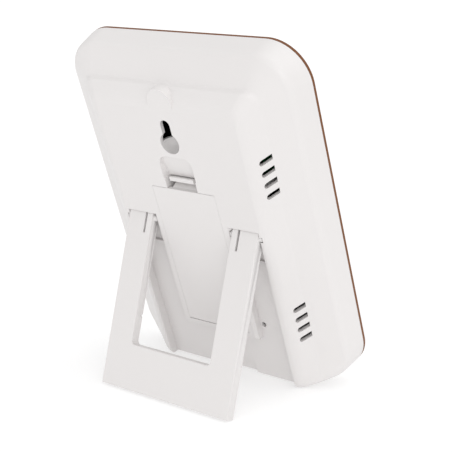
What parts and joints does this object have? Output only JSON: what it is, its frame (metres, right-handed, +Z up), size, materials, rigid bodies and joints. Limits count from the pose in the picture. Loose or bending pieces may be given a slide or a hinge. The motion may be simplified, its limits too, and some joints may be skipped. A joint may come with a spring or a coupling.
{
  "type": "digital photo frame",
  "caption": "Upright digital photo frame leaning back on a U-shaped fold-out stand, with a keyhole hanger and a latched battery door in its white moulded back.",
  "frame": {"origin": "on the surface it stands on, under the middle of its footprint", "axes": "+Z up, the display faces -Y and leans back towards +Y, +X to the right when seen from the display side"},
  "size_m": [0.1084, 0.0673, 0.1418],
  "materials": {
    "white_abs": "fine satin moulded ABS",
    "white_abs_inner": "plain moulded ABS",
    "brown_veneer": "thin brown wood veneer board, satin lacquer",
    "acrylic_window": "clear acrylic with black back-print",
    "lcd_glass": "dark liquid-crystal glass",
    "zinc_steel": "zinc-plated steel",
    "nickel_steel": "nickel-plated spring steel",
    "circuit_board": "green solder mask",
    "black_epoxy": "moulded black epoxy",
    "beige_nylon": "moulded nylon",
    "polyimide": "amber polyimide film",
    "red_pvc": "red wire insulation",
    "black_pvc": "black wire insulation",
    "cell_sleeve": "plain shrink sleeve"
  },
  "bodies": {
    "casing": {"rear_cover": "white_abs", "front_frame": "white_abs_inner", "front_panel": "brown_veneer", "display_window": "acrylic_window", "lcd_panel": "lcd_glass", "backlight": "zinc_steel", "lcd_flex": "polyimide", "lcd_socket": "beige_nylon", "main_board": "circuit_board", "switch_board": "circuit_board", "processor_chip": "black_epoxy", "memory_chip": "black_epoxy", "radio_shield": "zinc_steel", "reset_switch": "black_epoxy", "red_lead": "red_pvc", "black_lead": "black_pvc", "switch_lead": "black_pvc", "battery_cell_left": "cell_sleeve", "battery_cell_right": "cell_sleeve", "positive_contact": "nickel_steel", "negative_contact": "nickel_steel", "bridge_contact": "nickel_steel", "spring_left": "nickel_steel", "spring_right": "nickel_steel", "case_screw_top_left": "zinc_steel", "board_screw_top_left": "zinc_steel", "case_screw_top_right": "zinc_steel", "board_screw_top_right": "zinc_steel", "case_screw_bottom_left": "zinc_steel", "board_screw_bottom_left": "zinc_steel", "case_screw_bottom_right": "zinc_steel", "board_screw_bottom_right": "zinc_steel"},
    "door": {"battery_door": "white_abs"},
    "latch": {"latch_tongue": "white_abs"},
    "stand": {"stand": "white_abs"},
    "reset": {"reset_button": "black_epoxy"}
  },
  "joints": [
    {"name": "stand_fold", "type": "hinge", "parent": "casing", "child": "stand", "pos_m": [0, 0.01186, 0.06706], "axis": [-1, 0, 0], "range_deg": [0, 36.2]},
    {"name": "door_tilt", "type": "hinge", "parent": "casing", "child": "door", "pos_m": [0, -0.00411, 0.02275], "axis": [-1, 0, 0], "range_deg": [0, 35]},
    {"name": "latch_flex", "type": "hinge", "parent": "door", "child": "latch", "pos_m": [0, 0.01375, 0.08567], "axis": [-1, 0, 0], "range_deg": [0, 9], "stiffness_Nm_per_rad": 0.16},
    {"name": "reset_press", "type": "slide", "parent": "casing", "child": "reset", "axis": [0, -0.9367, 0.3502], "range_m": [0, 0.0003], "stiffness_N_per_m": 4000}
  ]
}
